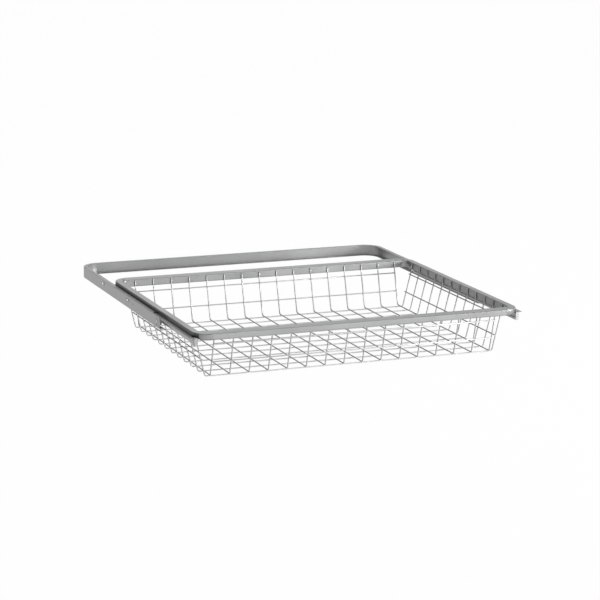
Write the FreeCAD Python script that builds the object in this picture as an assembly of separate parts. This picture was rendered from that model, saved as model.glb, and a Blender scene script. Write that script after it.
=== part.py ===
import FreeCAD, Part
import math
import os

# Pull-out wire basket. A shallow basket of welded wire hangs by its rim between two
# runners. The runners roll in the arms of a U-shaped frame, which is bent from one steel
# channel and screwed between two cabinet sides.
# Sizes are in millimetres. X is sideways, Y points to the back and Z is up. The origin is
# on the rear face of the frame's back rail, at its middle, level with the channel's
# centre line. The basket is drawn partly pulled out, as it is photographed.

V = FreeCAD.Vector

# Welded mesh of the basket
wire_diameter = 2.6
wire_sides = 6
floor_bend_chords = 1
wire_pitch = 40.0
long_wire_count = 16
cross_wire_count = 12
side_margin = 9.0
end_margin = 6.6
side_flare = 20.38
end_flare = 22.68
floor_bend = 8.0
knee_rise = 1.8
wall_wire_drop = 13.0
wall_wire_count = 2
wall_wire_overhang = 2.0
basket_depth = 94.2

# Rim channel, open downwards
side_flange = 13.5
end_flange = 26.0
rim_lip = 11.7
rim_web = 15.0
rim_sheet = 1.0
rim_corner = 33.0
opening_corner = 12.0
rim_dimple_depth = 0.6
rim_dimple_radius = 4.5
rim_dimple_inset = 20.5
wire_end_drop = 2.2

# Frame channel, open inwards
arm_height = 24.0
arm_lip = 9.0
arm_sheet = 1.2
frame_corner = 40.0
rear_gap = 12.4
front_overhang = 2.6
lip_cut_length = 45.0
lip_cut_slope = 7.0

# Oblong screw bosses and stop dimples in the arms
fixing_level = 3.5
boss_count = 2
boss_first = 178.0
boss_spacing = 174.0
boss_length = 24.0
boss_height = 1.0
boss_base_radius = 4.5
boss_top_radius = 3.5
screw_hole_length = 11.0
screw_hole_radius = 2.25
stop_from_back = 391.0
stop_height = 1.5
stop_base_radius = 3.1
stop_top_radius = 2.0

# Set-in pad round the front roller's rivet
pad_length = 19.0
pad_half_height = 8.0
pad_depth = 0.6

# Runners
runner_sheet = 1.2
runner_height = 16.2
ledge_drop = 2.6
ledge_width = 4.2
web_step = 1.2
web_step_drop = 11.2
runner_front_setback = 13.6
runner_rear_setback = 17.6
runner_tail = 29.0
runner_slot_length = 12.0
runner_slot_radius = 1.8
runner_slot_from_front = 173.0
runner_slot_drop = 8.7
pulled_out = 195.0

# Rollers and their rivets
roller_radius = 8.0
roller_width = 5.9
roller_inset = 12.0
front_roller_inset = 15.0
rivet_radius = 2.5
rivet_head_radius = 3.5
rivet_head_height = 0.9

# End caps and rear catches
cap_plate = 2.0
cap_width = 7.2
cap_edge = 0.6
cap_plug_length = 12.0
cap_plug_margin = 0.9
cap_nose_length = 7.5
catch_plate = 2.0
catch_width = 4.7
catch_nose_length = 11.0

# Share of the sheet's thickness that is cut off outside a square fold
fold_cut = 0.6

# How far a cutter reaches past what it cuts
cut_margin = 1.0

# Clearances
side_gap = 0.3
roller_side_gap = 0.3
rivet_side_gap = 0.4
flange_play = 0.8
flange_end_gap = 0.5
roll_gap = 0.1
rest_gap = 0.1
touch_gap = 0.05
weld_gap = 0.02
bore_gap = 0.05
rim_corner_gap = 0.3

# Widths, built outwards from the mesh
wire_radius = wire_diameter / 2
mesh_half_width = (long_wire_count - 1) * wire_pitch / 2
mesh_half_depth = (cross_wire_count - 1) * wire_pitch / 2
floor_half_width = mesh_half_width + side_margin
floor_half_depth = mesh_half_depth + end_margin
side_wire_top = floor_half_width + side_flare
end_wire_top = floor_half_depth + end_flare
opening_half_width = side_wire_top + wire_radius + weld_gap
opening_half_depth = end_wire_top + wire_radius + weld_gap
rim_half_width = opening_half_width + side_flange
rim_half_depth = opening_half_depth + end_flange
runner_inner = rim_half_width + side_gap
runner_outer = runner_inner + runner_sheet
ledge_inner = runner_inner - ledge_width
lip_edge = runner_outer + side_gap
arm_outer = lip_edge + arm_lip
arm_inner = arm_outer - arm_sheet
pad_inner = arm_inner - pad_depth
flange_end = arm_inner - flange_end_gap
roller_outer = pad_inner - roller_side_gap
roller_inner = roller_outer - roller_width
bend_centre_x = arm_outer - frame_corner

# Depths, from the rear face of the back rail forwards
rim_depth = 2 * rim_half_depth
frame_depth = rear_gap + rim_depth - front_overhang
rim_back_y = -(rear_gap + pulled_out)
rim_front_y = rim_back_y - rim_depth
basket_y = rim_back_y - rim_half_depth
runner_front_y = rim_front_y + runner_front_setback
runner_rear_y = rim_back_y - runner_rear_setback
tail_y = runner_rear_y - runner_tail
front_roller_y = front_roller_inset - frame_depth
rear_roller_y = runner_rear_y - roller_inset

# Heights, from the channel's centre line
arm_half_height = arm_height / 2
channel_half_height = arm_half_height - arm_sheet
flange_top = channel_half_height - flange_play
flange_under = flange_top - runner_sheet
runner_bottom = flange_top - runner_height
ledge_top = flange_top - ledge_drop
ledge_under = ledge_top - runner_sheet
rim_bottom = ledge_top + rest_gap
rim_top = rim_bottom + rim_lip
web_bottom = rim_top - rim_web
wire_top = rim_top - wire_end_drop
wire_knee = web_bottom + knee_rise
long_floor_z = rim_top - basket_depth
layer_step = wire_diameter + weld_gap
cross_floor_z = long_floor_z - layer_step
front_roller_z = flange_under - roll_gap - roller_radius
rear_roller_z = roller_radius + roll_gap - channel_half_height


# Outlines

def unit_step(start, end):
    """Unit direction from one 2-D point to the next."""
    length = math.hypot(end[0] - start[0], end[1] - start[1])
    return (end[0] - start[0]) / length, (end[1] - start[1]) / length


def corner_turns(points):
    """Directions into and out of every point of a 2-D polyline."""
    last = len(points) - 1
    turns = []
    for i in range(len(points)):
        into = unit_step(points[max(i - 1, 0)], points[max(i, 1)])
        out = unit_step(points[min(i, last - 1)], points[min(i + 1, last)])
        turns.append((into, out))
    return turns


def offset_side(points, distance):
    """One side of a folded sheet. Outside a fold, the corner is cut flat."""
    moved = []
    for point, (into, out) in zip(points, corner_turns(points)):
        turn = into[0] * out[1] - into[1] * out[0]
        spread = 1 + into[0] * out[0] + into[1] * out[1]
        corner = (point[0] - distance * (into[1] + out[1]) / spread,
                  point[1] + distance * (into[0] + out[0]) / spread)
        if turn * distance < 0:
            cut = 2 * fold_cut * abs(distance * turn) / spread
            moved.append((corner[0] - into[0] * cut, corner[1] - into[1] * cut))
            moved.append((corner[0] + out[0] * cut, corner[1] + out[1] * cut))
        else:
            moved.append(corner)
    return moved


def folded_section(points, sheet, place):
    """Face across a folded sheet whose centre line is given as 2-D points."""
    left = offset_side(points, sheet / 2)
    right = offset_side(points, -sheet / 2)
    outline = [place(a, b) for a, b in left + right[::-1]]
    return Part.Face(Part.makePolygon(outline + outline[:1]))


def wire_outline(centre, along, out):
    """Six-sided outline of a wire, square to along, with one flat facing out."""
    side = along.cross(out)
    corner_radius = wire_radius / math.cos(math.pi / wire_sides)
    corners = []
    for index in range(wire_sides):
        angle = (index + 0.5) * 2 * math.pi / wire_sides
        corners.append(centre + out * (corner_radius * math.cos(angle))
                       + side * (corner_radius * math.sin(angle)))
    return Part.makePolygon(corners + corners[:1])


def rounded_path(points, bend, chords):
    """The points with both of the middle corners replaced by chords of an arc."""
    path = points[:2]
    for before, point, after in zip(points[1:], points[2:-2], points[3:]):
        into = (point - before).normalize()
        out = (after - point).normalize()
        half_turn = into.getAngle(out) / 2
        inward = (out - into).normalize()
        centre = point + inward * (bend / math.cos(half_turn))
        axis = into.cross(out)
        spoke = point - into * (bend * math.tan(half_turn)) - centre
        for step in range(chords + 1):
            turn = FreeCAD.Rotation(axis, math.degrees(2 * half_turn * step / chords))
            path.append(centre + turn.multVec(spoke))
    return path + points[-2:]


def bent_wire(points):
    """Wire of the mesh along a path whose two floor corners are rounded."""
    path = rounded_path(points, floor_bend, floor_bend_chords)
    along = (path[1] - path[0]).normalize()
    outward = V(path[0] - path[-1]).normalize()
    return Part.makePolygon(path).makePipeShell(
        [wire_outline(path[0], along, outward)], True, False, 1)


def straight_wire(start, end, out):
    """Straight wire of the mesh between two points, with one flat facing out."""
    along = (end - start).normalize()
    return Part.Face(wire_outline(start, along, out)).extrude(end - start)


def box_between(low, high):
    """Box from its lowest corner to its highest corner."""
    size = high - low
    return Part.makeBox(size.x, size.y, size.z, low)


def x_cylinder(radius, x_start, x_end, y, z):
    """Cylinder along X between two places."""
    return Part.makeCylinder(radius, x_end - x_start, V(x_start, y, z), V(1, 0, 0))


def slot_outline(radius, reach, x, y, z):
    """Outline of a slot with round ends, square to X and lying along Y."""
    front, back = y - reach, y + reach
    low, high = z - radius, z + radius
    back_end = Part.Arc(V(x, back, low), V(x, back + radius, z), V(x, back, high))
    front_end = Part.Arc(V(x, front, high), V(x, front - radius, z), V(x, front, low))
    return Part.Wire([Part.makeLine(V(x, front, low), V(x, back, low)), back_end.toShape(),
                      Part.makeLine(V(x, back, high), V(x, front, high)), front_end.toShape()])


def x_slot(radius, length, x_start, x_end, y, z):
    """Solid that cuts a slot with round ends along X."""
    outline = slot_outline(radius, length / 2 - radius, x_start, y, z)
    return Part.Face(outline).extrude(V(x_end - x_start, 0, 0))


def mirrored(shape):
    """The left-hand copy of a right-hand piece."""
    return shape.mirror(V(0, 0, 0), V(1, 0, 0))


# Frame

def channel_section():
    """Section of the right arm's channel, in the plane where its straight part ends."""
    middle = arm_outer - arm_sheet / 2
    level = arm_half_height - arm_sheet / 2
    points = [(lip_edge, -level), (middle, -level), (middle, level), (lip_edge, level)]
    return folded_section(points, arm_sheet, lambda a, b: V(a, -frame_corner, b))


def right_arm():
    """Right arm with its corner, up to the start of the back rail."""
    section = channel_section()
    arm = section.extrude(V(0, frame_corner - frame_depth, 0))
    corner = section.revolve(V(bend_centre_x, -frame_corner, 0), V(0, 0, 1), 90)
    return arm.fuse(corner)


def back_rail():
    """Straight channel between the two corners."""
    section = channel_section()
    section.rotate(V(bend_centre_x, -frame_corner, 0), V(0, 0, 1), 90)
    return section.extrude(V(-2 * bend_centre_x, 0, 0))


def lip_cutter():
    """Takes the top lip off the front end of the arm, up to a sloping cut."""
    front = -frame_depth - cut_margin
    cut_back = lip_cut_length - frame_depth
    inner = lip_edge - cut_margin
    outer = arm_inner - arm_sheet / 2
    low = channel_half_height - cut_margin
    outline = [V(inner, front, low), V(outer, front, low),
               V(outer, cut_back, low), V(inner, cut_back + lip_cut_slope, low)]
    face = Part.Face(Part.makePolygon(outline + outline[:1]))
    return face.extrude(V(0, 0, arm_height))


def pressed_boss(x, narrower, y):
    """Oblong form of a screw boss, which starts at x and tapers outwards."""
    reach = boss_length / 2 - boss_base_radius
    base = slot_outline(boss_base_radius - narrower, reach, x, y, fixing_level)
    top = slot_outline(boss_top_radius - narrower, reach, x + boss_height, y, fixing_level)
    return Part.makeLoft([base, top], True, True)


def add_boss(arm, y):
    """Oblong boss pressed outwards at y, with its oblong screw hole."""
    outside = pressed_boss(arm_outer, 0, y)
    inside = pressed_boss(arm_inner, arm_sheet / 2, y)
    hole = x_slot(screw_hole_radius, screw_hole_length, arm_inner, arm_outer + boss_height,
                  y, fixing_level)
    return arm.fuse(outside).cut([inside, hole])


def pressed_dimple(x, narrower, y):
    """Round form of a stop dimple, which starts at x and tapers inwards."""
    base = Part.makeCircle(stop_base_radius - narrower, V(x, y, fixing_level), V(-1, 0, 0))
    top = Part.makeCircle(stop_top_radius - narrower, V(x - stop_height, y, fixing_level),
                          V(-1, 0, 0))
    return Part.makeLoft([Part.Wire(base), Part.Wire(top)], True, True)


def add_stop(arm):
    """Dimple pressed inwards, where the rear roller stops when the basket is out."""
    y = -stop_from_back
    inside = pressed_dimple(arm_inner, 0, y)
    outside = pressed_dimple(arm_outer, arm_sheet / 2, y)
    return arm.fuse(inside).cut(outside)


def add_pad(arm):
    """Set-in end of the arm, with the hole for the front roller's rivet."""
    front = -frame_depth
    back = front + pad_length
    inside = box_between(V(pad_inner, front, -pad_half_height),
                         V(arm_inner, back, pad_half_height))
    outside = box_between(V(arm_outer - pad_depth, front, -pad_half_height),
                          V(arm_outer, back, pad_half_height))
    hole = x_cylinder(rivet_radius + touch_gap, pad_inner, arm_outer,
                      front_roller_y, front_roller_z)
    return arm.fuse(inside).cut([outside, hole])


def make_frame():
    """Both arms and the back rail, in one piece."""
    arm = right_arm().cut(lip_cutter())
    for step in range(boss_count):
        arm = add_boss(arm, -boss_first - step * boss_spacing)
    arm = add_pad(add_stop(arm))
    return back_rail().fuse([arm, mirrored(arm)]).removeSplitter()


# Rollers and rivets

def make_roller(y, z):
    """Right roller with its bore."""
    outside = x_cylinder(roller_radius, roller_inner, roller_outer, y, z)
    return outside.cut(x_cylinder(rivet_radius + bore_gap, roller_inner, roller_outer, y, z))


def make_front_rivet():
    """Rivet of the front roller, headed on the arm's pad and inside the roller."""
    y, z = front_roller_y, front_roller_z
    pad_face = arm_outer - pad_depth
    start = runner_outer + rivet_side_gap
    head = x_cylinder(rivet_head_radius, pad_face, pad_face + rivet_head_height, y, z)
    shank = x_cylinder(rivet_radius, start, pad_face, y, z)
    tail = x_cylinder(rivet_head_radius, start, roller_inner - touch_gap, y, z)
    return head.fuse([shank, tail]).removeSplitter()


def make_rear_rivet():
    """Rivet of the rear roller, headed inside the runner's tail, with a shoulder."""
    y, z = rear_roller_y, rear_roller_z
    head = x_cylinder(rivet_head_radius, runner_inner - rivet_head_height, runner_inner, y, z)
    shank = x_cylinder(rivet_radius, runner_inner, pad_inner, y, z)
    shoulder = x_cylinder(rivet_head_radius, runner_outer, roller_inner - touch_gap, y, z)
    return head.fuse([shank, shoulder]).removeSplitter()


# Runners

def runner_section():
    """Section of the right runner at its front end.

    The top flange runs over the front roller. The ledge below it carries the rim's outer
    lip, and the lower web steps inwards once more before it ends.
    """
    half = runner_sheet / 2
    web = runner_outer - half
    low_web = ledge_inner + half
    step_z = flange_top - web_step_drop
    points = [(flange_end, flange_top - half),
              (web, flange_top - half),
              (web, ledge_top - half),
              (low_web, ledge_top - half),
              (low_web, step_z),
              (low_web - web_step, step_z - web_step),
              (low_web - web_step, runner_bottom)]
    return folded_section(points, runner_sheet, lambda a, b: V(a, runner_front_y, b))


def make_runner():
    """Right runner: the folded length, and a flat tail that carries the rear roller."""
    rail = runner_section().extrude(V(0, tail_y - runner_front_y, 0))
    tail = box_between(V(runner_inner, tail_y, runner_bottom),
                       V(runner_outer, runner_rear_y, flange_top))
    ends = box_between(V(ledge_inner - web_step, tail_y - runner_sheet, runner_bottom),
                       V(runner_outer, tail_y, ledge_under))
    hole = x_cylinder(rivet_radius + touch_gap, runner_inner, runner_outer,
                      rear_roller_y, rear_roller_z)
    slot = x_slot(runner_slot_radius, runner_slot_length,
                  ledge_inner - web_step, ledge_inner + runner_sheet,
                  runner_front_y + runner_slot_from_front, flange_top - runner_slot_drop)
    return rail.fuse([tail, ends]).cut([hole, slot]).removeSplitter()


def ledge_nose(y_start, y_end, x_start):
    """Nose that stands on the ledge."""
    return box_between(V(x_start, y_start, ledge_top + touch_gap),
                       V(runner_inner - touch_gap, y_end, flange_top))


def corner_space(centre_y):
    """Room for the rim's round corner above the ledge."""
    return Part.makeCylinder(rim_corner + rim_corner_gap, rim_top,
                             V(rim_half_width - rim_corner, centre_y, ledge_top))


def make_front_cap():
    """Moulded cap on the runner's front end, with a nose before the rim's front corner."""
    back = runner_front_y - touch_gap
    front = back - cap_plate
    plate = box_between(V(runner_outer - cap_width, front, runner_bottom),
                        V(runner_outer, back, flange_top))
    rounded = [edge for edge in plate.Edges
               if all(vertex.Point.y < front + touch_gap for vertex in edge.Vertexes)]
    plate = plate.makeFillet(cap_edge, rounded)
    plug = box_between(V(ledge_inner + runner_sheet + touch_gap, back - touch_gap,
                         runner_bottom + cap_plug_margin),
                       V(runner_outer - touch_gap, back + cap_plug_length,
                         ledge_under - touch_gap))
    nose = ledge_nose(back - touch_gap, back + cap_nose_length, runner_outer - cap_width)
    cap = plate.fuse([plug, nose]).cut(corner_space(rim_front_y + rim_corner))
    return cap.removeSplitter()


def make_rear_catch():
    """Moulded catch on the runner's tail, with a nose behind the rim's rear corner."""
    front = runner_rear_y + touch_gap
    back = front + catch_plate
    plate = box_between(V(runner_outer - catch_width, front, runner_bottom),
                        V(runner_outer, back, flange_top))
    nose = ledge_nose(back - catch_nose_length, back, runner_outer - catch_width)
    catch = plate.fuse(nose).cut(corner_space(rim_back_y - rim_corner))
    return catch.removeSplitter()


# Basket

def rounded_block(half_x, half_y, radius, low, high):
    """Upright block with round corners, centred on the middle of the basket."""
    block = box_between(V(-half_x, basket_y - half_y, low), V(half_x, basket_y + half_y, high))
    upright = [edge for edge in block.Edges if edge.BoundBox.ZLength > (high - low) / 2]
    return block.makeFillet(radius, upright)


def rim_dimples():
    """Balls that press a shallow round dimple near each corner of the rim."""
    ball = (rim_dimple_radius ** 2 + rim_dimple_depth ** 2) / (2 * rim_dimple_depth)
    x = rim_half_width - rim_dimple_inset
    y = rim_half_depth - rim_dimple_inset
    height = rim_top + ball - rim_dimple_depth
    return [Part.makeSphere(ball, V(side * x, basket_y + end * y, height))
            for side in (-1, 1) for end in (-1, 1)]


def make_rim():
    """Rim channel, all round the basket, with a flat flange between its lip and its web."""
    outside = rounded_block(rim_half_width, rim_half_depth, rim_corner, rim_bottom, rim_top)
    inside = rounded_block(rim_half_width - rim_sheet, rim_half_depth - rim_sheet,
                           rim_corner - rim_sheet, rim_bottom - cut_margin,
                           rim_top - rim_sheet)
    web = rounded_block(opening_half_width + rim_sheet, opening_half_depth + rim_sheet,
                        opening_corner + rim_sheet, web_bottom, rim_top)
    opening = rounded_block(opening_half_width, opening_half_depth, opening_corner,
                            web_bottom - cut_margin, rim_top + cut_margin)
    rim = outside.cut(inside).fuse(web).cut(opening).removeSplitter()
    folds = [edge for edge in rim.Edges
             if all(vertex.Point.z > rim_top - touch_gap for vertex in edge.Vertexes)]
    return rim.makeChamfer(fold_cut * rim_sheet, folds).cut(rim_dimples())


def mesh_path(half_floor, half_top, floor_z):
    """A mesh wire's path, from the rim down one wall, across the floor and up again."""
    side = [(half_top, wire_top), (half_top, wire_knee), (half_floor, floor_z)]
    return [(-across, height) for across, height in side] + side[::-1]


def make_long_wire(index):
    """Wire from the front of the rim, under the load and up to the back."""
    x = index * wire_pitch - mesh_half_width
    path = mesh_path(floor_half_depth, end_wire_top, long_floor_z)
    return bent_wire([V(x, basket_y + across, height) for across, height in path])


def make_cross_wire(index):
    """Wire from side to side, welded under the long wires."""
    y = basket_y + index * wire_pitch - mesh_half_depth
    path = mesh_path(floor_half_width, side_wire_top, cross_floor_z)
    return bent_wire([V(across, y, height) for across, height in path])


def wall_wire_place(half_floor, half_top, floor_z, layer, index):
    """Where a level wire crosses a wall: its distance out, its height and the wall's lean."""
    lean = math.atan2(half_top - half_floor, wire_knee - floor_z)
    down = wall_wire_drop + index * wire_pitch
    out = half_top - down * math.sin(lean) + layer * math.cos(lean)
    height = wire_knee - down * math.cos(lean) - layer * math.sin(lean)
    return out, height, lean


def make_end_wall_wire(side, index):
    """Level wire outside the front wall (side -1) or the back wall (side 1)."""
    out, height, lean = wall_wire_place(floor_half_depth, end_wire_top, long_floor_z,
                                        layer_step, index)
    reach = mesh_half_width + wall_wire_overhang
    y = basket_y + side * out
    return straight_wire(V(-reach, y, height), V(reach, y, height),
                         V(0, side * math.cos(lean), -math.sin(lean)))


def make_side_wall_wire(side, index):
    """Level wire inside the left wall (side -1) or the right wall (side 1)."""
    out, height, lean = wall_wire_place(floor_half_width, side_wire_top, cross_floor_z,
                                        -layer_step, index)
    reach = mesh_half_depth + wall_wire_overhang
    x = side * out
    return straight_wire(V(x, basket_y - reach, height), V(x, basket_y + reach, height),
                         V(side * math.cos(lean), 0, -math.sin(lean)))


# All pieces

def both_hands(name, shape):
    """A right-hand piece and its mirrored left-hand twin."""
    return {name + "_right": shape, name + "_left": mirrored(shape)}


def make_pieces():
    """Every piece of the product by its name."""
    pieces = {"u_frame": make_frame(), "basket_rim": make_rim()}
    pieces.update(both_hands("front_roller", make_roller(front_roller_y, front_roller_z)))
    pieces.update(both_hands("front_roller_rivet", make_front_rivet()))
    pieces.update(both_hands("rear_roller", make_roller(rear_roller_y, rear_roller_z)))
    pieces.update(both_hands("rear_roller_rivet", make_rear_rivet()))
    pieces.update(both_hands("runner", make_runner()))
    pieces.update(both_hands("runner_front_cap", make_front_cap()))
    pieces.update(both_hands("runner_rear_catch", make_rear_catch()))
    for index in range(long_wire_count):
        pieces["long_wire_%02d" % (index + 1)] = make_long_wire(index)
    for index in range(cross_wire_count):
        pieces["cross_wire_%02d" % (index + 1)] = make_cross_wire(index)
    for index in range(wall_wire_count):
        number = index + 1
        pieces["front_wall_wire_%d" % number] = make_end_wall_wire(-1, index)
        pieces["back_wall_wire_%d" % number] = make_end_wall_wire(1, index)
        pieces["left_wall_wire_%d" % number] = make_side_wall_wire(-1, index)
        pieces["right_wall_wire_%d" % number] = make_side_wall_wire(1, index)
    return pieces


os.makedirs("parts", exist_ok=True)
for piece_name, piece in make_pieces().items():
    piece.exportStep(os.path.join("parts", piece_name + ".step"))
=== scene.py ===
import math

import bmesh
import bpy
from mathutils import Matrix, Vector


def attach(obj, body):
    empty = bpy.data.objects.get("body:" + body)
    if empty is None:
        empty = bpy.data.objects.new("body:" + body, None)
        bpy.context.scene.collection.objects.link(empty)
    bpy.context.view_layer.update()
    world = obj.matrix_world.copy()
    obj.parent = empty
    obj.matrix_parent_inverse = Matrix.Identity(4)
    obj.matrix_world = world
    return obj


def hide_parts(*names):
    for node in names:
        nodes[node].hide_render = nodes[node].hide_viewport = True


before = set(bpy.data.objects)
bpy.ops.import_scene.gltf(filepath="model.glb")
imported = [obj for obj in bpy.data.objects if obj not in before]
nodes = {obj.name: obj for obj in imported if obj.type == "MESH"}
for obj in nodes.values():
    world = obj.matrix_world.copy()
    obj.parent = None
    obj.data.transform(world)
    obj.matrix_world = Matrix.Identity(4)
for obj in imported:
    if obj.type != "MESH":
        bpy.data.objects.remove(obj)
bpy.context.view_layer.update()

# Sizes of the mesh in metres, the same as in the part's source
PITCH = 0.040
LONG_COUNT = 16
CROSS_COUNT = 12
SIDE_MARGIN = 0.0090
END_MARGIN = 0.0066
SIDE_FLARE = 0.02038
END_FLARE = 0.02268
WIRE_RADIUS = 0.0013
WELD_GAP = 0.00002
WIRE_TOP = 0.017
WIRE_KNEE = 0.006
LONG_FLOOR_Z = -0.0750
LEVEL_COUNT = 2
LEVEL_DROP = 0.0130
LEVEL_OVERHANG = 0.002
BASKET_Y = -0.484

# Bends and ends of the round wires. The source's solids have one flat chord for each
# floor bend, of 8 mm radius. The photograph shows tighter bends, which are drawn here.
FLOOR_BEND = 0.005
FLOOR_BEND_STEPS = 8
KNEE_BEND = 0.004
KNEE_BEND_STEPS = 3
WIRE_SIDES = 14
WIRE_END_ROUND = 0.0003

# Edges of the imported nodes: width of the rounding, and angles in degrees
EDGE_WIDTH = 0.0004
EDGE_SEGMENTS = 2
EDGE_ANGLE = 35.0
FLAT_ANGLE = 1.0
WELD_DISTANCE = 2e-6

# Painted shade: how far round to the side a face starts and ends to darken, and the
# distance from the middle, in metres, beyond which a face belongs to the outer lips
SIDE_START = 0.25
SIDE_END = 0.95
LIP_START = 0.3365

# Colour sockets of the Mix node, where the same names stand for every kind of data
MIX_FIRST = 6
MIX_SECOND = 7
MIX_RESULT = 2

# Stage
FLOOR_HALF = 12.0
FLOOR_Z = -0.0795
FLOOR_GLOW = 0.98
SOFT_LIGHT = 0.36
AIM = (0.0, -0.4, 0.0)

# Camera that was fitted to the photograph: angles in degrees, lens and sensor in
# millimetres, place in metres
AZIMUTH = -21.82
ELEVATION = 12.42
ROLL = 0.51
LENS = 134.69
SENSOR = 36.0
CAMERA_PLACE = (-1.70461, -4.68163, 1.00245)

mesh_half_width = (LONG_COUNT - 1) * PITCH / 2
mesh_half_depth = (CROSS_COUNT - 1) * PITCH / 2
layer_step = 2 * WIRE_RADIUS + WELD_GAP


# Materials

def new_material(name):
    """Empty node material with its shader."""
    material = bpy.data.materials.new(name)
    material.use_nodes = True
    tree = material.node_tree
    shader = tree.nodes["Principled BSDF"]
    return material, tree, shader


def add(tree, kind, **settings):
    """New node with its settings and default inputs."""
    node = tree.nodes.new(kind)
    for key, value in settings.items():
        if key in node.inputs:
            node.inputs[key].default_value = value
        else:
            setattr(node, key, value)
    return node


def ramp(tree, source, stops):
    """Colour ramp fed by a socket, with (place, colour) stops."""
    node = tree.nodes.new("ShaderNodeValToRGB")
    elements = node.color_ramp.elements
    while len(elements) < len(stops):
        elements.new(0.5)
    for element, (place, colour) in zip(elements, stops):
        element.position = place
        element.color = (*colour, 1)
    tree.links.new(source, node.inputs["Fac"])
    return node


def grey(value, tint=0.0):
    """Grey as it is written, a little warm or cool."""
    return (value * (1 + tint), value, value * (1 - tint))


def side_share(tree):
    """How far a face looks sideways, along X, as the mask of the painted shade: 0 up to the start,
    1 from the end on.
    """
    normal = add(tree, "ShaderNodeNewGeometry").outputs["Normal"]
    parts = add(tree, "ShaderNodeSeparateXYZ")
    tree.links.new(normal, parts.inputs[0])
    size = add(tree, "ShaderNodeMath", operation="ABSOLUTE")
    tree.links.new(parts.outputs["X"], size.inputs[0])
    share = add(tree, "ShaderNodeMapRange", interpolation_type="SMOOTHSTEP")
    share.inputs["From Min"].default_value = SIDE_START
    share.inputs["From Max"].default_value = SIDE_END
    tree.links.new(size.outputs[0], share.inputs["Value"])
    return share.outputs["Result"]


def lip_share(tree, place):
    """1 on the outer lips along both sides, which take their own painted shade, else 0."""
    parts = add(tree, "ShaderNodeSeparateXYZ")
    tree.links.new(place, parts.inputs[0])
    size = add(tree, "ShaderNodeMath", operation="ABSOLUTE")
    tree.links.new(parts.outputs["X"], size.inputs[0])
    beyond = add(tree, "ShaderNodeMath", operation="GREATER_THAN")
    beyond.inputs[1].default_value = LIP_START
    tree.links.new(size.outputs[0], beyond.inputs[0])
    return beyond.outputs[0]


def coat(name, base, tint, metallic, roughness, grain=900.0, side=1.0, lip=1.0, fold=0.0):
    """Satin metallic lacquer: fine flake, faint clouding and a slight orange peel.

    Side and lip are shade that is painted, not lit: the base colour of faces that look
    sideways is multiplied by side, or by lip on the outer lips, to match the photograph.
    Fold is the radius over which the shading, but not the form, goes round an edge.
    """
    material, tree, shader = new_material(name)
    place = add(tree, "ShaderNodeTexCoord").outputs["Object"]
    flake = add(tree, "ShaderNodeTexNoise", Scale=grain * 4, Detail=2.0, Roughness=0.6)
    cloud = add(tree, "ShaderNodeTexNoise", Scale=9.0, Detail=3.0, Roughness=0.5)
    peel = add(tree, "ShaderNodeTexNoise", Scale=grain, Detail=2.0, Roughness=0.5)
    for node in (flake, cloud, peel):
        tree.links.new(place, node.inputs["Vector"])
    mixed = add(tree, "ShaderNodeMath", operation="MULTIPLY_ADD")
    tree.links.new(flake.outputs["Fac"], mixed.inputs[0])
    mixed.inputs[1].default_value = 0.6
    tree.links.new(cloud.outputs["Fac"], mixed.inputs[2])
    tone = ramp(tree, mixed.outputs[0], [(0.55, grey(base * 0.93, tint)),
                                         (1.05, grey(base * 1.07, tint))])
    colour = tone.outputs["Color"]
    # Painted shade: the base colour of faces that look sideways is darkened by side, and on the
    # outer lips by lip
    if side < 1.0:
        painted_shade = add(tree, "ShaderNodeMix", data_type="RGBA", blend_type="MULTIPLY")
        tree.links.new(side_share(tree), painted_shade.inputs["Factor"])
        tree.links.new(colour, painted_shade.inputs[MIX_FIRST])
        painted_shade_tone = ramp(tree, lip_share(tree, place), [(0.0, grey(side)), (1.0, grey(lip))])
        tree.links.new(painted_shade_tone.outputs["Color"], painted_shade.inputs[MIX_SECOND])
        colour = painted_shade.outputs[MIX_RESULT]
    tree.links.new(colour, shader.inputs["Base Color"])
    shader.inputs["Metallic"].default_value = metallic
    rough = add(tree, "ShaderNodeMapRange")
    rough.inputs["From Min"].default_value = 0.3
    rough.inputs["From Max"].default_value = 0.7
    rough.inputs["To Min"].default_value = roughness - 0.05
    rough.inputs["To Max"].default_value = roughness + 0.05
    tree.links.new(cloud.outputs["Fac"], rough.inputs["Value"])
    tree.links.new(rough.outputs["Result"], shader.inputs["Roughness"])
    relief = add(tree, "ShaderNodeBump", Strength=0.05, Distance=0.0002)
    tree.links.new(peel.outputs["Fac"], relief.inputs["Height"])
    if fold > 0.0:
        rounded = add(tree, "ShaderNodeBevel", samples=8, Radius=fold)
        tree.links.new(rounded.outputs["Normal"], relief.inputs["Normal"])
    tree.links.new(relief.outputs["Normal"], shader.inputs["Normal"])
    return material


def moulded(name, base, tint, roughness):
    """Matt moulded plastic with a fine eroded grain."""
    material, tree, shader = new_material(name)
    place = add(tree, "ShaderNodeTexCoord").outputs["Object"]
    grain = add(tree, "ShaderNodeTexNoise", Scale=2600.0, Detail=3.0, Roughness=0.6)
    flow = add(tree, "ShaderNodeTexNoise", Scale=60.0, Detail=2.0, Roughness=0.5)
    for node in (grain, flow):
        tree.links.new(place, node.inputs["Vector"])
    tone = ramp(tree, flow.outputs["Fac"], [(0.35, grey(base * 0.95, tint)),
                                            (0.65, grey(base * 1.03, tint))])
    tree.links.new(tone.outputs["Color"], shader.inputs["Base Color"])
    shader.inputs["Roughness"].default_value = roughness
    relief = add(tree, "ShaderNodeBump", Strength=0.15, Distance=0.0002)
    tree.links.new(grain.outputs["Fac"], relief.inputs["Height"])
    tree.links.new(relief.outputs["Normal"], shader.inputs["Normal"])
    return material


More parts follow.
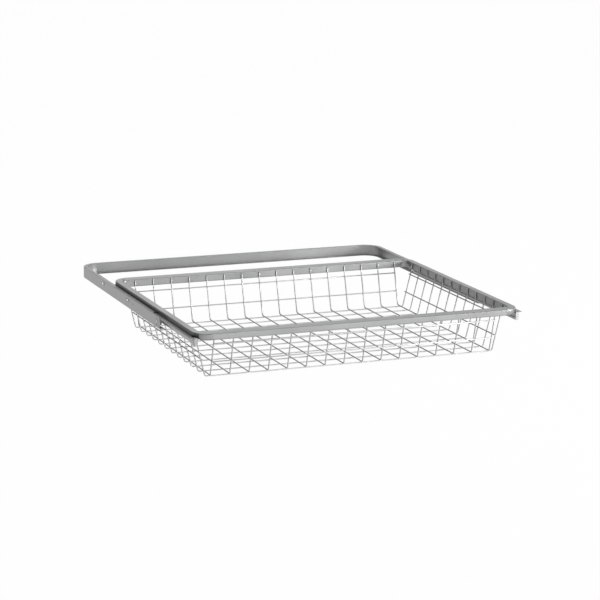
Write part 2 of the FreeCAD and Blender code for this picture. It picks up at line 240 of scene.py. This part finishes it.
def plated(name, base, tint, roughness):
    """Zinc-plated steel with a turned grain across X."""
    material, tree, shader = new_material(name)
    place = add(tree, "ShaderNodeTexCoord").outputs["Object"]
    stretch = add(tree, "ShaderNodeMapping")
    stretch.inputs["Scale"].default_value = (4.0, 1.0, 1.0)
    tree.links.new(place, stretch.inputs["Vector"])
    grain = add(tree, "ShaderNodeTexNoise", Scale=1500.0, Detail=3.0, Roughness=0.6)
    tree.links.new(stretch.outputs["Vector"], grain.inputs["Vector"])
    tone = ramp(tree, grain.outputs["Fac"], [(0.35, grey(base * 0.85, tint)),
                                             (0.7, grey(base * 1.1, tint))])
    tree.links.new(tone.outputs["Color"], shader.inputs["Base Color"])
    shader.inputs["Metallic"].default_value = 0.9
    rough = ramp(tree, grain.outputs["Fac"], [(0.3, grey(roughness + 0.1)),
                                              (0.7, grey(roughness - 0.05))])
    tree.links.new(rough.outputs["Color"], shader.inputs["Roughness"])
    return material


# side and lip are painted shade, not lit: they darken the faces that look sideways and the outer
# lips
finish = {
    "frame_coat": coat("frame_coat", 0.37, -0.004, 0.60, 0.36, side=0.85, lip=0.85, fold=0.0012),
    "rim_coat": coat("rim_coat", 0.38, -0.004, 0.78, 0.34, side=0.60, lip=0.2, fold=0.0028),
    "runner_coat": coat("runner_coat", 0.42, 0.0, 0.55, 0.40),
    "wire_coat": coat("wire_coat", 0.68, 0.0, 0.50, 0.35, grain=1400.0, side=0.22, lip=0.22),
    "rivet_steel": plated("rivet_steel", 0.55, 0.0, 0.32),
    "roller_plastic": moulded("roller_plastic", 0.62, 0.01, 0.5),
    "cap_plastic": moulded("cap_plastic", 0.56, 0.0, 0.45),
}

node_slots = {"u_frame": "frame_coat", "basket_rim": "rim_coat"}
for hand in ("left", "right"):
    node_slots["runner_" + hand] = "runner_coat"
    node_slots["front_roller_" + hand] = "roller_plastic"
    node_slots["rear_roller_" + hand] = "roller_plastic"
    node_slots["front_roller_rivet_" + hand] = "rivet_steel"
    node_slots["rear_roller_rivet_" + hand] = "rivet_steel"
    node_slots["runner_front_cap_" + hand] = "cap_plastic"
    node_slots["runner_rear_catch_" + hand] = "cap_plastic"


def soften(obj):
    """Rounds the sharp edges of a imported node."""
    weld = obj.modifiers.new("weld", "WELD")
    weld.merge_threshold = WELD_DISTANCE
    flat = obj.modifiers.new("flat", "DECIMATE")
    flat.decimate_type = "DISSOLVE"
    flat.angle_limit = math.radians(FLAT_ANGLE)
    edge = obj.modifiers.new("edge", "BEVEL")
    edge.width = EDGE_WIDTH
    edge.segments = EDGE_SEGMENTS
    edge.limit_method = "ANGLE"
    edge.angle_limit = math.radians(EDGE_ANGLE)
    edge.harden_normals = True


def dress(obj, slot):
    """Gives an object the finish of a slot."""
    obj.data.materials.clear()
    obj.data.materials.append(finish[slot])


for name, slot in node_slots.items():
    dress(nodes[name], slot)
    soften(nodes[name])


# Mesh of the basket: round wires that replace the plain ones

def arc_path(points, radius, steps):
    """The points with every middle corner rounded to a radius."""
    path = [points[0]]
    for before, corner, after in zip(points, points[1:], points[2:]):
        into = (corner - before).normalized()
        out = (after - corner).normalized()
        half = into.angle(out) / 2
        reach = radius * math.tan(half)
        centre = corner + (out - into).normalized() * (radius / math.cos(half))
        spoke = corner - into * reach - centre
        axis = into.cross(out)
        for step in range(steps + 1):
            turn = Matrix.Rotation(2 * half * step / steps, 3, axis)
            path.append(centre + turn @ spoke)
    return path + [points[-1]]


def plane_normal(path):
    """Normal of the plane that a bent path lies in, or any normal of a straight one."""
    for first, second, third in zip(path, path[1:], path[2:]):
        cross = (second - first).cross(third - second)
        if cross.length > 1e-12:
            return cross.normalized()
    return (path[-1] - path[0]).normalized().orthogonal().normalized()


def tube(name, path):
    """Round wire along a path in one plane, with slightly rounded ends."""
    form = bmesh.new()
    normal = plane_normal(path)

    def ring(centre, along, size):
        side = normal.cross(along).normalized()
        turns = (2 * math.pi * index / WIRE_SIDES for index in range(WIRE_SIDES))
        return [form.verts.new(centre + (side * math.cos(angle) + normal * math.sin(angle)) * size)
                for angle in turns]

    start_out = (path[0] - path[1]).normalized()
    end_out = (path[-1] - path[-2]).normalized()
    line = [path[0] - start_out * WIRE_END_ROUND, *path[1:-1], path[-1] - end_out * WIRE_END_ROUND]
    rings = [ring(path[0], -start_out, WIRE_RADIUS - WIRE_END_ROUND)]
    for index, point in enumerate(line):
        before = line[max(index - 1, 0)]
        after = line[min(index + 1, len(line) - 1)]
        into = (point - before).normalized() if index else (after - point).normalized()
        out = (after - point).normalized() if index < len(line) - 1 else into
        rings.append(ring(point, (into + out).normalized(), WIRE_RADIUS))
    rings.append(ring(path[-1], end_out, WIRE_RADIUS - WIRE_END_ROUND))
    for first, second in zip(rings, rings[1:]):
        for index in range(WIRE_SIDES):
            following = (index + 1) % WIRE_SIDES
            form.faces.new((first[index], first[following], second[following], second[index]))
    form.faces.new(rings[0][::-1])
    form.faces.new(rings[-1])
    bmesh.ops.recalc_face_normals(form, faces=form.faces)
    for face in form.faces:
        face.smooth = len(face.verts) == 4
    mesh = bpy.data.meshes.new(name)
    form.to_mesh(mesh)
    form.free()
    obj = bpy.data.objects.new(name, mesh)
    bpy.context.scene.collection.objects.link(obj)
    return obj


def mesh_wire(name, node, path):
    """A round wire of the basket in the place of its plain solid."""
    obj = tube(name, path)
    dress(obj, "wire_coat")
    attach(obj, "basket")
    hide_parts(node)


def wall_profile(mesh_half, margin, flare, floor_z):
    """Half length of a wire's floor, its half length at the rim, and the floor's height."""
    floor_half = mesh_half + margin
    return floor_half, floor_half + flare, floor_z


def corners_across(profile):
    """A wire's corners as (distance, height), from one end at the rim to the other."""
    floor_half, top_half, floor_z = profile
    side = [(top_half, WIRE_TOP), (top_half, WIRE_KNEE), (floor_half, floor_z)]
    return [(-across, height) for across, height in side] + side[::-1]


def bent_wire(points):
    """Path of a wire with small bends at its knees and larger ones at the floor."""
    knee = (KNEE_BEND, KNEE_BEND_STEPS)
    floor_corner = (FLOOR_BEND, FLOOR_BEND_STEPS)
    path = [points[0]]
    for index, bend in enumerate((knee, floor_corner, floor_corner, knee), start=1):
        path += arc_path(points[index - 1:index + 2], *bend)[1:-1]
    return path + [points[-1]]


def level_place(profile, layer, index):
    """Distance out and height of a level wire on a wall."""
    floor_half, top_half, floor_z = profile
    lean = math.atan2(top_half - floor_half, WIRE_KNEE - floor_z)
    down = LEVEL_DROP + index * PITCH
    out = top_half - down * math.sin(lean) + layer * math.cos(lean)
    height = WIRE_KNEE - down * math.cos(lean) - layer * math.sin(lean)
    return out, height


def level_wire(wall, number, middle, along):
    """A straight level wire on a wall, as far to both sides of its middle as along."""
    mesh_wire("mesh_%s_%d" % (wall, number), "%s_wall_wire_%d" % (wall, number),
              [middle - along, middle, middle + along])


long_profile = wall_profile(mesh_half_depth, END_MARGIN, END_FLARE, LONG_FLOOR_Z)
cross_profile = wall_profile(mesh_half_width, SIDE_MARGIN, SIDE_FLARE, LONG_FLOOR_Z - layer_step)

for index in range(LONG_COUNT):
    x = index * PITCH - mesh_half_width
    corners = [Vector((x, BASKET_Y + across, height))
               for across, height in corners_across(long_profile)]
    number = "%02d" % (index + 1)
    mesh_wire("mesh_long_" + number, "long_wire_" + number, bent_wire(corners))

for index in range(CROSS_COUNT):
    y = BASKET_Y + index * PITCH - mesh_half_depth
    corners = [Vector((across, y, height)) for across, height in corners_across(cross_profile)]
    number = "%02d" % (index + 1)
    mesh_wire("mesh_cross_" + number, "cross_wire_" + number, bent_wire(corners))

sideways = Vector((mesh_half_width + LEVEL_OVERHANG, 0, 0))
lengthways = Vector((0, mesh_half_depth + LEVEL_OVERHANG, 0))
for index in range(LEVEL_COUNT):
    out, height = level_place(long_profile, layer_step, index)
    for side, wall in ((-1, "front"), (1, "back")):
        level_wire(wall, index + 1, Vector((0, BASKET_Y + side * out, height)), sideways)
    out, height = level_place(cross_profile, -layer_step, index)
    for side, wall in ((-1, "left"), (1, "right")):
        level_wire(wall, index + 1, Vector((side * out, BASKET_Y, height)), lengthways)


# Stage: floor, backdrop, lights and camera

def seen_directly(tree):
    """1 for rays from the camera, from gloss or through glass, and 0 for light."""
    path = add(tree, "ShaderNodeLightPath")
    first = add(tree, "ShaderNodeMath", operation="MAXIMUM")
    second = add(tree, "ShaderNodeMath", operation="MAXIMUM")
    tree.links.new(path.outputs["Is Camera Ray"], first.inputs[0])
    tree.links.new(path.outputs["Is Glossy Ray"], first.inputs[1])
    tree.links.new(first.outputs[0], second.inputs[0])
    tree.links.new(path.outputs["Is Transmission Ray"], second.inputs[1])
    return second.outputs[0]


def floor_paper():
    """Pale paper that is seen as white and keeps the object's shadow."""
    material, tree, shader = new_material("floor_paper")
    shader.inputs["Roughness"].default_value = 0.95
    shader.inputs["Specular IOR Level"].default_value = 0.0
    paper = add(tree, "ShaderNodeTexNoise", Scale=300.0, Detail=2.0)
    tone = ramp(tree, paper.outputs["Fac"], [(0.3, grey(0.80)), (0.7, grey(0.82))])
    tree.links.new(tone.outputs["Color"], shader.inputs["Base Color"])
    white = add(tree, "ShaderNodeEmission")
    white.inputs["Strength"].default_value = 1.0
    share = add(tree, "ShaderNodeMath", operation="MULTIPLY")
    share.inputs[1].default_value = FLOOR_GLOW
    tree.links.new(seen_directly(tree), share.inputs[0])
    mixed = add(tree, "ShaderNodeMixShader")
    tree.links.new(share.outputs[0], mixed.inputs["Fac"])
    tree.links.new(shader.outputs[0], mixed.inputs[1])
    tree.links.new(white.outputs[0], mixed.inputs[2])
    tree.links.new(mixed.outputs[0], tree.nodes["Material Output"].inputs["Surface"])
    return material


def floor():
    """Large flat floor just under the basket."""
    mesh = bpy.data.meshes.new("floor")
    half = FLOOR_HALF
    mesh.from_pydata([(-half, -half, FLOOR_Z), (half, -half, FLOOR_Z), (half, half, FLOOR_Z),
                      (-half, half, FLOOR_Z)], [], [(0, 1, 2, 3)])
    obj = bpy.data.objects.new("floor", mesh)
    bpy.context.scene.collection.objects.link(obj)
    mesh.materials.append(floor_paper())


def studio():
    """World that is white to look at, lights softly, and is dark overhead for gloss."""
    world = bpy.data.worlds.new("studio")
    bpy.context.scene.world = world
    world.use_nodes = True
    tree = world.node_tree
    tree.nodes.clear()
    surface = add(tree, "ShaderNodeOutputWorld")
    soft = add(tree, "ShaderNodeBackground", Color=(1, 1, 1, 1), Strength=SOFT_LIGHT)
    white = add(tree, "ShaderNodeBackground", Color=(1, 1, 1, 1), Strength=1.0)
    path = add(tree, "ShaderNodeLightPath")
    height = add(tree, "ShaderNodeSeparateXYZ")
    tree.links.new(add(tree, "ShaderNodeTexCoord").outputs["Generated"], height.inputs[0])
    dim = ramp(tree, height.outputs["Z"], [(0.25, grey(1.0)), (0.50, grey(0.10))])
    gloss = add(tree, "ShaderNodeBackground", Strength=1.0)
    tree.links.new(dim.outputs["Color"], gloss.inputs["Color"])
    direct = add(tree, "ShaderNodeMath", operation="MAXIMUM")
    tree.links.new(path.outputs["Is Camera Ray"], direct.inputs[0])
    tree.links.new(path.outputs["Is Transmission Ray"], direct.inputs[1])
    lit = add(tree, "ShaderNodeMixShader")
    tree.links.new(path.outputs["Is Glossy Ray"], lit.inputs["Fac"])
    tree.links.new(soft.outputs[0], lit.inputs[1])
    tree.links.new(gloss.outputs[0], lit.inputs[2])
    seen = add(tree, "ShaderNodeMixShader")
    tree.links.new(direct.outputs[0], seen.inputs["Fac"])
    tree.links.new(lit.outputs[0], seen.inputs[1])
    tree.links.new(white.outputs[0], seen.inputs[2])
    tree.links.new(seen.outputs[0], surface.inputs["Surface"])


def lamp(name, place, target, size, watts):
    """Rectangular area lamp that looks at a point."""
    light = bpy.data.lights.new(name, "AREA")
    light.shape = "RECTANGLE"
    light.size, light.size_y = size
    light.energy = watts
    obj = bpy.data.objects.new(name, light)
    obj.location = place
    obj.rotation_euler = (Vector(target) - Vector(place)).to_track_quat("-Z", "Y").to_euler()
    bpy.context.scene.collection.objects.link(obj)


def photograph_camera():
    """Camera that sees the part as the photograph does."""
    azimuth, elevation, roll = (math.radians(angle) for angle in (AZIMUTH, ELEVATION, ROLL))
    forward = Vector((-math.sin(azimuth) * math.cos(elevation),
                      math.cos(azimuth) * math.cos(elevation), -math.sin(elevation)))
    level = Vector((math.cos(azimuth), math.sin(azimuth), 0))
    upward = level.cross(forward)
    across = level * math.cos(roll) + upward * math.sin(roll)
    upright = upward * math.cos(roll) - level * math.sin(roll)
    camera_data = bpy.data.cameras.new("camera")
    camera_data.lens = LENS
    camera_data.sensor_width = SENSOR
    camera_data.clip_end = 100.0
    camera = bpy.data.objects.new("camera", camera_data)
    turn = Matrix((across, upright, -forward)).transposed().to_4x4()
    camera.matrix_world = Matrix.Translation(CAMERA_PLACE) @ turn
    bpy.context.scene.collection.objects.link(camera)
    bpy.context.scene.camera = camera


floor()
studio()
lamp("key", (1.7, -2.6, 1.2), AIM, (1.5, 1.2), 8)
lamp("low", (1.6, -1.8, 0.28), AIM, (0.5, 0.35), 25)
lamp("front", (0.7, -3.0, 0.25), AIM, (1.2, 0.4), 6)
lamp("back", (0.5, 1.9, 0.7), AIM, (1.2, 0.6), 0.4)
lamp("top", (0.0, 0.6, 1.8), (0.0, 0.6, 0.0), (2.2, 1.6), 14)
lamp("left", (-1.7, -1.6, 1.5), AIM, (0.8, 0.6), 4)
photograph_camera()
bpy.context.scene.view_settings.view_transform = "Standard"
